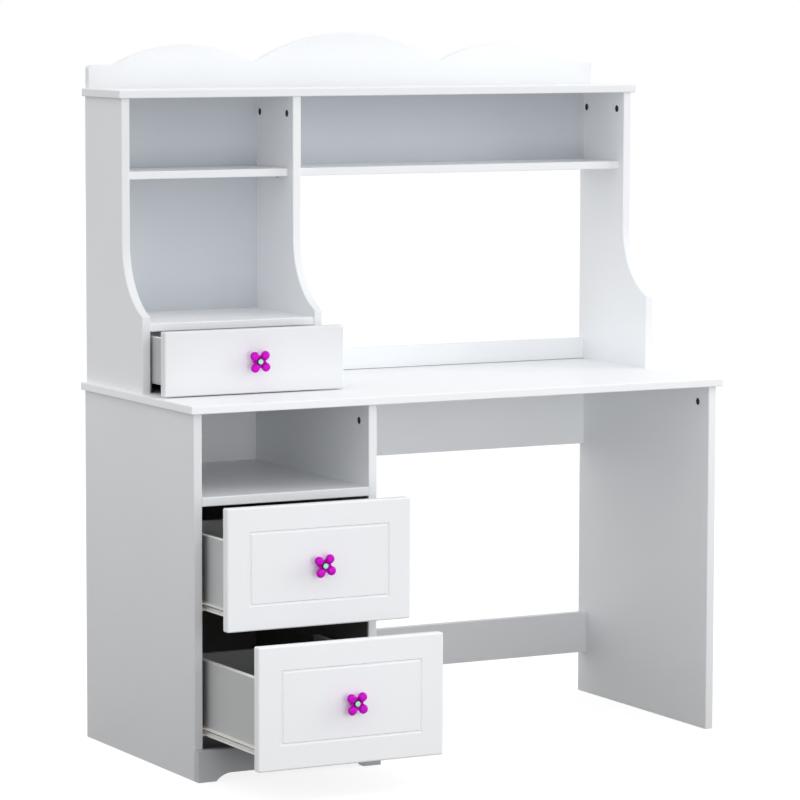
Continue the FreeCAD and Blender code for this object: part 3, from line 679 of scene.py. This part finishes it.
def flower_mesh(prefix, sizes):
    """The petals' front and back with a round rim between them, on a stem."""
    low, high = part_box(prefix + "_knob_flower")
    place = Vector(((low.x + high.x) / 2, high.y, (low.z + high.z) / 2))
    middle = high.y - low.y - sizes.plate / 2
    flower = Flower(sizes, getattr(sizes, prefix + "_turn"))
    angles = [index * math.tau / FLOWER_STEPS for index in range(FLOWER_STEPS)]
    reaches = [flower.reach(angle) for angle in angles]
    shares = [math.sin(math.pi / 2 * step / FACE_RINGS) for step in range(FACE_RINGS + 1)]
    builder = RingBuilder(place)

    def face_ring(height, share):
        points = []
        for angle, reach in zip(angles, reaches):
            radius = sizes.stem_radius + (reach - sizes.stem_radius) * share
            x, z = radius * math.cos(angle), radius * math.sin(angle)
            points.append((x, z, middle + height(x, z)))
        builder.ring(points)

    face_ring(flower.front, 0.0)
    builder.cap()
    for share in shares:
        face_ring(flower.front, share)
    for share in reversed(shares[:-1]):
        face_ring(flower.back, share)
    builder.ring(circle(sizes.stem_radius, 0.0, FLOWER_STEPS))
    builder.cap()
    mesh = builder.finish(prefix + "_flower")
    crown = mesh.attributes.new(PETAL_SHARE, "FLOAT", "POINT")
    for vertex, item in zip(mesh.vertices, crown.data):
        across = vertex.co - place
        item.value = max(0.0, flower.petal_depth(across.x, across.z) / sizes.petal_radius)
    return mesh


def button_mesh(prefix, sizes):
    """A tapered collar in painted shade that stands on the hub and holds a pale domed face."""
    low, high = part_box(prefix + "_knob_centre")
    flower_low, flower_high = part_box(prefix + "_knob_flower")
    foot = flower_high.y - flower_low.y - sizes.hub_drop
    tip = flower_high.y - low.y
    lip = tip - sizes.face_dome
    seat = lip - sizes.face_set
    collar = (
        (sizes.face_radius, foot),
        (sizes.collar_radius, foot),
        (sizes.collar_radius, foot + sizes.lip_round),
        (sizes.lip_radius, lip - sizes.lip_round),
        (sizes.lip_radius - sizes.lip_round, lip),
        (sizes.face_radius, seat),
    )
    builder = RingBuilder(Vector(((low.x + high.x) / 2, flower_high.y, (low.z + high.z) / 2)))
    builder.ring(circle(*collar[0]), COLLAR)
    builder.cap(COLLAR)
    for radius, out in collar:
        builder.ring(circle(radius, out), COLLAR)
    for step in range(1, DOME_RINGS):
        angle = math.pi / 2 * step / DOME_RINGS
        out = seat + (tip - seat) * math.sin(angle)
        builder.ring(circle(sizes.face_radius * math.cos(angle), out), FACE)
    builder.cap(FACE)
    return builder.finish(prefix + "_button")


def islands(node):
    """Points of each separate solid of a frame node."""
    copy = bmesh.new()
    copy.from_mesh(frame["nodes"][node].data)
    bmesh.ops.remove_doubles(copy, verts=copy.verts, dist=WELD)
    met = set()
    found = []
    for start in copy.verts:
        if start in met:
            continue
        met.add(start)
        group = [start]
        for vertex in group:
            linked = [edge.other_vert(vertex) for edge in vertex.link_edges]
            fresh = [other for other in linked if other not in met]
            met.update(fresh)
            group.extend(fresh)
        found.append([vertex.co.copy() for vertex in group])
    copy.free()
    return found


def extent(points, axis):
    values = [getattr(point, axis) for point in points]
    return max(values) - min(values)


def screw_heads(node):
    """Middle and outward way of each countersunk screw's face, which is the wider end of its solid."""
    heads = []
    for points in islands(node):
        limits = min(point.x for point in points), max(point.x for point in points)
        ends = [[point for point in points if abs(point.x - x) < FACE_BAND] for x in limits]
        point_end, face = sorted(ends, key=lambda end: extent(end, "z"))
        way = math.copysign(1.0, face[0].x - point_end[0].x)
        heads.append((sum(face, Vector()) / len(face), Vector((way, 0.0, 0.0))))
    return heads


def box_screw_heads(prefix, sizes):
    """Screws through the sides into the drawer back, and up through the bottom sheet."""
    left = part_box(prefix + "_drawer_left_side")[0].x
    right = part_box(prefix + "_drawer_right_side")[1].x
    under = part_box(prefix + "_drawer_bottom")[0].z
    low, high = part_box(prefix + "_drawer_back")
    y = (low.y + high.y) / 2
    heads = []
    for x, way in ((left, -1.0), (right, 1.0)):
        for z in (low.z + sizes.corner_inset, high.z - sizes.corner_inset):
            heads.append((Vector((x + way * sizes.head_proud, y, z)), Vector((way, 0.0, 0.0))))
    for share in SHEET_SCREW_SHARES:
        x = low.x + (high.x - low.x) * share
        heads.append((Vector((x, y, under - sizes.head_proud)), Vector((0.0, 0.0, -1.0))))
    return heads


class ScrewTree(Nodes):
    """Node tree that sets a countersunk cross-head screw at each point, along the point's way."""

    def __init__(self, material):
        super().__init__(bpy.data.node_groups.new("countersunk_screws", "GeometryNodeTree"))
        interface = self.tree.interface
        interface.new_socket("Geometry", in_out="INPUT", socket_type="NodeSocketGeometry")
        for name in SCREW_INPUTS:
            kind = "NodeSocketInt" if name == "Sides" else "NodeSocketFloat"
            interface.new_socket(name, in_out="INPUT", socket_type=kind)
        interface.new_socket("Geometry", in_out="OUTPUT", socket_type="NodeSocketGeometry")
        self.given = self.node("NodeGroupInput").outputs
        self.neck_z = self.times(self.given["Head Height"], -1.0)
        drop = {0: self.neck_z, 1: self.given["Shank Length"]}
        self.tip_z = self.node("ShaderNodeMath", drop, operation="SUBTRACT").outputs[0]
        self.core = self.times(self.given["Neck Radius"], CORE_SHARE)
        whole = self.node("GeometryNodeJoinGeometry")
        for geometry in (self.thread(), self.shank(), self.head()):
            self.feed(whole.inputs[0], geometry)
        placed = self.placed(whole.outputs[0])
        real = self.node("GeometryNodeRealizeInstances", {"Geometry": placed}).outputs[0]
        dressed = self.node("GeometryNodeSetMaterial", {"Geometry": real, "Material": material}).outputs[0]
        self.node("NodeGroupOutput", {"Geometry": dressed})

    def vector(self, x=0.0, y=0.0, z=0.0):
        return self.node("ShaderNodeCombineXYZ", {"X": x, "Y": y, "Z": z}).outputs[0]

    def lifted(self, geometry, z):
        inputs = {"Geometry": geometry, "Translation": self.vector(z=z)}
        return self.node("GeometryNodeTransform", inputs).outputs[0]

    def cone(self, bottom, top, depth):
        inputs = {"Radius Top": top, "Radius Bottom": bottom, "Depth": depth}
        inputs["Vertices"] = self.given["Sides"]
        return self.node("GeometryNodeMeshCone", inputs).outputs["Mesh"]

    def bar(self, x, y):
        """One bar of the driver's cross, half of it above the head."""
        size = self.vector(x, y, self.times(self.given["Recess Depth"], 2.0))
        return self.node("GeometryNodeMeshCube", {"Size": size}).outputs["Mesh"]

    def head(self):
        given = self.given
        cone = self.cone(given["Neck Radius"], given["Head Radius"], given["Head Height"])
        inputs = {"Mesh 1": self.lifted(cone, self.neck_z)}
        recess = self.node("GeometryNodeMeshBoolean", inputs, operation="DIFFERENCE")
        length, width = given["Recess Length"], given["Recess Width"]
        for bar in (self.bar(length, width), self.bar(width, length)):
            self.feed(recess.inputs["Mesh 2"], bar)
        return recess.outputs["Mesh"]

    def shank(self):
        cone = self.cone(self.times(self.core, POINT_SHARE), self.core, self.given["Shank Length"])
        return self.lifted(cone, self.tip_z)

    def thread(self):
        spiral_inputs = {
            "Resolution": THREAD_STEPS,
            "Rotations": self.given["Thread Turns"],
            "Start Radius": self.times(self.core, THREAD_START),
            "End Radius": self.core,
            "Height": self.given["Shank Length"],
        }
        spiral = self.node("GeometryNodeCurveSpiral", spiral_inputs).outputs["Curve"]
        wire_inputs = {"Resolution": WIRE_SIDES, "Radius": self.given["Thread Radius"]}
        wire = self.node("GeometryNodeCurvePrimitiveCircle", wire_inputs).outputs["Curve"]
        inputs = {"Curve": spiral, "Profile Curve": wire, "Fill Caps": True}
        return self.lifted(self.node("GeometryNodeCurveToMesh", inputs).outputs["Mesh"], self.tip_z)

    def placed(self, screw):
        """A screw on each point, turned so that its head looks along the point's way."""
        named = self.node("GeometryNodeInputNamedAttribute", {"Name": SCREW_WAY}, data_type="FLOAT_VECTOR")
        turn_inputs = {"Vector": named.outputs["Attribute"]}
        turn = self.node("FunctionNodeAlignRotationToVector", turn_inputs, axis="Z").outputs["Rotation"]
        inputs = {"Points": self.given["Geometry"], "Instance": screw, "Rotation": turn}
        return self.node("GeometryNodeInstanceOnPoints", inputs).outputs[0]


def screw_values(sizes):
    """The tree's inputs: head and length as on a frame screw, the rest from the sizes."""
    points = islands("upper_drawer_screws")[0]
    head_radius = extent(points, "z") / 2
    neck_radius = head_radius * NECK_SHARE
    head_height = head_radius - neck_radius
    return {
        "Head Radius": head_radius,
        "Neck Radius": neck_radius,
        "Head Height": head_height,
        "Shank Length": extent(points, "x") - head_height,
        "Recess Length": sizes.recess_length,
        "Recess Width": sizes.recess_width,
        "Recess Depth": sizes.recess_depth,
        "Thread Radius": sizes.thread_radius,
        "Thread Turns": sizes.thread_turns,
        "Sides": sizes.sides,
    }


def screw_mesh(name, heads, tree, values):
    """Points with their ways go through the tree and come out as one plain mesh."""
    points = bpy.data.meshes.new(name + "_points")
    points.from_pydata([tuple(place) for place, _ in heads], [], [])
    ways = points.attributes.new(SCREW_WAY, "FLOAT_VECTOR", "POINT")
    for item, (_, way) in zip(ways.data, heads):
        item.vector = way
    holder = bpy.data.objects.new(name + "_points", points)
    bpy.context.scene.collection.objects.link(holder)
    modifier = holder.modifiers.new("screws", "NODES")
    modifier.node_group = tree
    for item in tree.interface.items_tree:
        if item.in_out == "INPUT" and item.name in values:
            modifier[item.identifier] = values[item.name]
    graph = bpy.context.evaluated_depsgraph_get()
    mesh = bpy.data.meshes.new_from_object(holder.evaluated_get(graph), depsgraph=graph)
    mesh.name = name
    bpy.data.objects.remove(holder)
    return mesh


class DESK_OT_finish_boards(Operator):
    """Lacquer the boards, foil the drawer boxes and wash their bottoms"""

    bl_idname = "desk.finish_boards"
    bl_label = "Finish Boards"

    def execute(self, context):
        colours = context.scene.desk_colours
        dress(nodes_in_slot("white_board"), satin_lacquer(colours))
        # Boards with a tone of their own get painted light and shade, painted shade towards the floor or
        # in the drawer bay.
        for name, shading_tone in BOARD_SHADING_TONES.items():
            bay = drawer_bay() if name in BAY_BOARDS else None
            dress([name], satin_lacquer(colours, name + "_lacquer", shading_tone, name in FLOOR_SHADED_BOARDS, bay))
        dress(BACKS, painted_backing(colours))
        for prefix in DRAWERS:
            dress(nodes_in_slot("drawer_board", prefix), printed_foil(colours, prefix))
        dress(nodes_in_slot("drawer_sheet"), fibre_sheet(colours))
        return {"FINISHED"}


class DESK_OT_finish_runners(Operator):
    """Coat the steel runners, their rollers and the wooden runners"""

    bl_idname = "desk.finish_runners"
    bl_label = "Finish Runners"

    def execute(self, context):
        colours = context.scene.desk_colours
        for prefix in DESK_DRAWERS:
            dress(nodes_in_slot("runner_steel", prefix), powder_coat(colours, prefix))
        dress(nodes_in_slot("roller_nylon"), moulded_nylon(colours))
        dress(nodes_in_slot("bare_wood"), planed_beech(colours))
        return {"FINISHED"}


class DESK_OT_finish_fasteners(Operator):
    """Plate the bolts and pins, darken the cam locks and set cross-head screws"""

    bl_idname = "desk.finish_fasteners"
    bl_label = "Finish Fasteners"

    def execute(self, context):
        colours = context.scene.desk_colours
        sizes = context.scene.desk_screws
        zinc = plated_zinc(colours)
        dress(nodes_in_slot("screw_steel"), zinc)
        dress(nodes_in_slot("cam_zinc"), dark_casting(colours))
        runner_screws = "cabinet_runner_screws"
        groups = [("carcass_screws", "carcass", screw_heads(runner_screws), (runner_screws,))]
        for prefix in DRAWERS:
            heads = box_screw_heads(prefix, sizes)
            replaced = ()
            if prefix in DESK_DRAWERS:
                replaced = (prefix + "_drawer_screws",)
                heads += screw_heads(replaced[0])
            groups.append((prefix + "_box_screws", prefix + "_drawer", heads, replaced))
        tree = ScrewTree(zinc).tree
        values = screw_values(sizes)
        for name, body, heads, replaced in groups:
            new_piece(name, screw_mesh(name, heads, tree, values), (), body, replaced)
        return {"FINISHED"}


class DESK_OT_shape_knobs(Operator):
    """Shape the flower knobs and their middles"""

    bl_idname = "desk.shape_knobs"
    bl_label = "Shape Knobs"

    def execute(self, context):
        colours = context.scene.desk_colours
        sizes = context.scene.desk_knob
        petal = glossy_petal(colours)
        collar = dark_collar(colours)
        face = pearl_face(colours)
        for prefix in DRAWERS:
            body = prefix + "_drawer"
            flower = flower_mesh(prefix, sizes)
            button = button_mesh(prefix, sizes)
            flower_node, button_node = prefix + "_knob_flower", prefix + "_knob_centre"
            new_piece(prefix + "_flower", flower, (petal,), body, (flower_node,))
            new_piece(prefix + "_button", button, (collar, face), body, (button_node,))
        return {"FINISHED"}


def grey(level):
    return (level, level, level, 1.0)


def camera_rays(nodes):
    """One where the camera, a reflection or a view through glass looks at the surface."""
    path = nodes.node("ShaderNodeLightPath").outputs
    total = path["Is Camera Ray"]
    for name in ("Is Glossy Ray", "Is Transmission Ray"):
        total = nodes.node("ShaderNodeMath", {0: total, 1: path[name]}, operation="MAXIMUM").outputs[0]
    return total


def floor_material(studio):
    """The camera sees a white floor that keeps soft shade; other rays meet a plain grey one."""
    material = bpy.data.materials.new("studio_floor")
    material.use_nodes = True
    material.node_tree.nodes.clear()
    nodes = Nodes(material.node_tree)
    glow = nodes.node("ShaderNodeEmission", {"Strength": studio.floor_glow}).outputs[0]
    shade = nodes.node("ShaderNodeBsdfDiffuse", {"Color": grey(studio.floor_shade)}).outputs[0]
    seen = nodes.node("ShaderNodeAddShader", {0: glow, 1: shade}).outputs[0]
    plain = nodes.node("ShaderNodeBsdfDiffuse", {"Color": grey(studio.floor_bounce)}).outputs[0]
    surface = nodes.node("ShaderNodeMixShader", {0: camera_rays(nodes), 1: plain, 2: seen}).outputs[0]
    nodes.node("ShaderNodeOutputMaterial", {"Surface": surface})
    return material


def shaded_floor_material(studio):
    """The patch under the drawers stays in the dark."""
    material = bpy.data.materials.new("shaded_floor")
    material.use_nodes = True
    shader = material.node_tree.nodes["Principled BSDF"]
    shader.inputs["Base Color"].default_value = grey(studio.floor_bounce)
    shader.inputs["Roughness"].default_value = 1.0
    return material


def studio_floor(studio):
    """Three by three patches, with the middle one in the drawer bay."""
    half = studio.floor_size / 2
    low, high = drawer_bay()
    columns = (-half, low.x, high.x, half)
    rows = (-half, low.y + studio.shade_start, high.y, half)
    corners = [(x, y, 0.0) for y in rows for x in columns]
    wide = len(columns)
    starts = [row * wide + column for row in range(len(rows) - 1) for column in range(wide - 1)]
    mesh = bpy.data.meshes.new("studio_floor")
    mesh.from_pydata(corners, [], [(start, start + 1, start + wide + 1, start + wide) for start in starts])
    mesh.materials.append(floor_material(studio))
    mesh.materials.append(shaded_floor_material(studio))
    mesh.polygons[len(starts) // 2].material_index = 1
    floor = bpy.data.objects.new("studio_floor", mesh)
    bpy.context.scene.collection.objects.link(floor)
    return floor


def studio_world(studio):
    """White behind the object, and an even soft light from all round that grows towards the backdrop."""
    world = bpy.data.worlds.new("studio")
    world.use_nodes = True
    world.node_tree.nodes.clear()
    nodes = Nodes(world.node_tree)
    way = nodes.node("ShaderNodeTexCoord").outputs["Generated"]
    strength_inputs = {
        "Value": nodes.node("ShaderNodeSeparateXYZ", {"Vector": way}).outputs["Y"],
        "To Min": studio.room_light,
        "To Max": studio.room_light + studio.backdrop_light,
    }
    strength = nodes.node("ShaderNodeMapRange", strength_inputs).outputs["Result"]
    room = nodes.node("ShaderNodeBackground", {"Color": grey(1.0), "Strength": strength}).outputs[0]
    white = nodes.node("ShaderNodeBackground", {"Color": grey(1.0)}).outputs[0]
    surface = nodes.node("ShaderNodeMixShader", {0: camera_rays(nodes), 1: room, 2: white}).outputs[0]
    nodes.node("ShaderNodeOutputWorld", {"Surface": surface})
    return world


def area_lamp(name, place, target, size, power):
    lamp = bpy.data.lights.new(name, "AREA")
    lamp.size = size
    lamp.energy = power
    holder = bpy.data.objects.new(name, lamp)
    holder.location = place
    holder.rotation_euler = (Vector(target) - Vector(place)).to_track_quat("-Z", "Y").to_euler()
    bpy.context.scene.collection.objects.link(holder)


def studio_camera(studio):
    """A camera placed from the desk top's front left upper corner and turned by yaw, pitch and roll."""
    low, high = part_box("desk_top")
    corner = Vector((low.x, low.y, high.z))
    camera = bpy.data.cameras.new("camera")
    camera.lens = studio.camera_lens
    holder = bpy.data.objects.new("camera", camera)
    turn = Matrix.Rotation(studio.camera_yaw, 4, "Z")
    turn @= Matrix.Rotation(math.pi / 2 + studio.camera_pitch, 4, "X")
    turn @= Matrix.Rotation(studio.camera_roll, 4, "Z")
    holder.matrix_world = Matrix.Translation(corner + Vector(studio.camera_offset)) @ turn
    bpy.context.scene.collection.objects.link(holder)
    return holder


class DESK_OT_set_stage(Operator):
    """Lay the floor, light the desk and stand the camera"""

    bl_idname = "desk.set_stage"
    bl_label = "Set Stage"

    def execute(self, context):
        scene = context.scene
        studio = scene.desk_studio
        studio_floor(studio)
        scene.world = studio_world(studio)
        middle = (CAD_BOX[0] + CAD_BOX[1]) / 2
        area_lamp("key_lamp", studio.key_place, middle, studio.key_size, studio.key_power)
        area_lamp("fill_lamp", studio.fill_place, middle, studio.fill_size, studio.fill_power)
        scene.camera = studio_camera(studio)
        scene.view_settings.view_transform = "Standard"
        return {"FINISHED"}


GROUPS = {
    "desk_colours": DeskColours,
    "desk_knob": DeskKnobSizes,
    "desk_screws": DeskScrewSizes,
    "desk_studio": DeskStudio,
}
OPERATORS = (
    DESK_OT_finish_boards,
    DESK_OT_finish_runners,
    DESK_OT_finish_fasteners,
    DESK_OT_shape_knobs,
    DESK_OT_set_stage,
)


class VIEW3D_PT_desk(Panel):
    """Sizes, colours and steps of the desk"""

    bl_label = "Student Desk"
    bl_space_type = "VIEW_3D"
    bl_region_type = "UI"
    bl_category = "Desk"

    def draw(self, context):
        for operator in OPERATORS:
            self.layout.operator(operator.bl_idname)
        for name in GROUPS:
            group = getattr(context.scene, name)
            box = self.layout.box()
            for key in group.__annotations__:
                box.prop(group, key)


CLASSES = (*GROUPS.values(), *OPERATORS, VIEW3D_PT_desk)


def register():
    for cls in CLASSES:
        bpy.utils.register_class(cls)
    for name, group in GROUPS.items():
        setattr(bpy.types.Scene, name, PointerProperty(type=group))


def unregister():
    for name in GROUPS:
        delattr(bpy.types.Scene, name)
    for cls in reversed(CLASSES):
        bpy.utils.unregister_class(cls)


def main():
    register()
    bpy.ops.desk.finish_boards()
    bpy.ops.desk.finish_runners()
    bpy.ops.desk.finish_fasteners()
    bpy.ops.desk.shape_knobs()
    bpy.ops.desk.set_stage()
    bpy.context.view_layer.update()


if __name__ == "__main__":
    main()
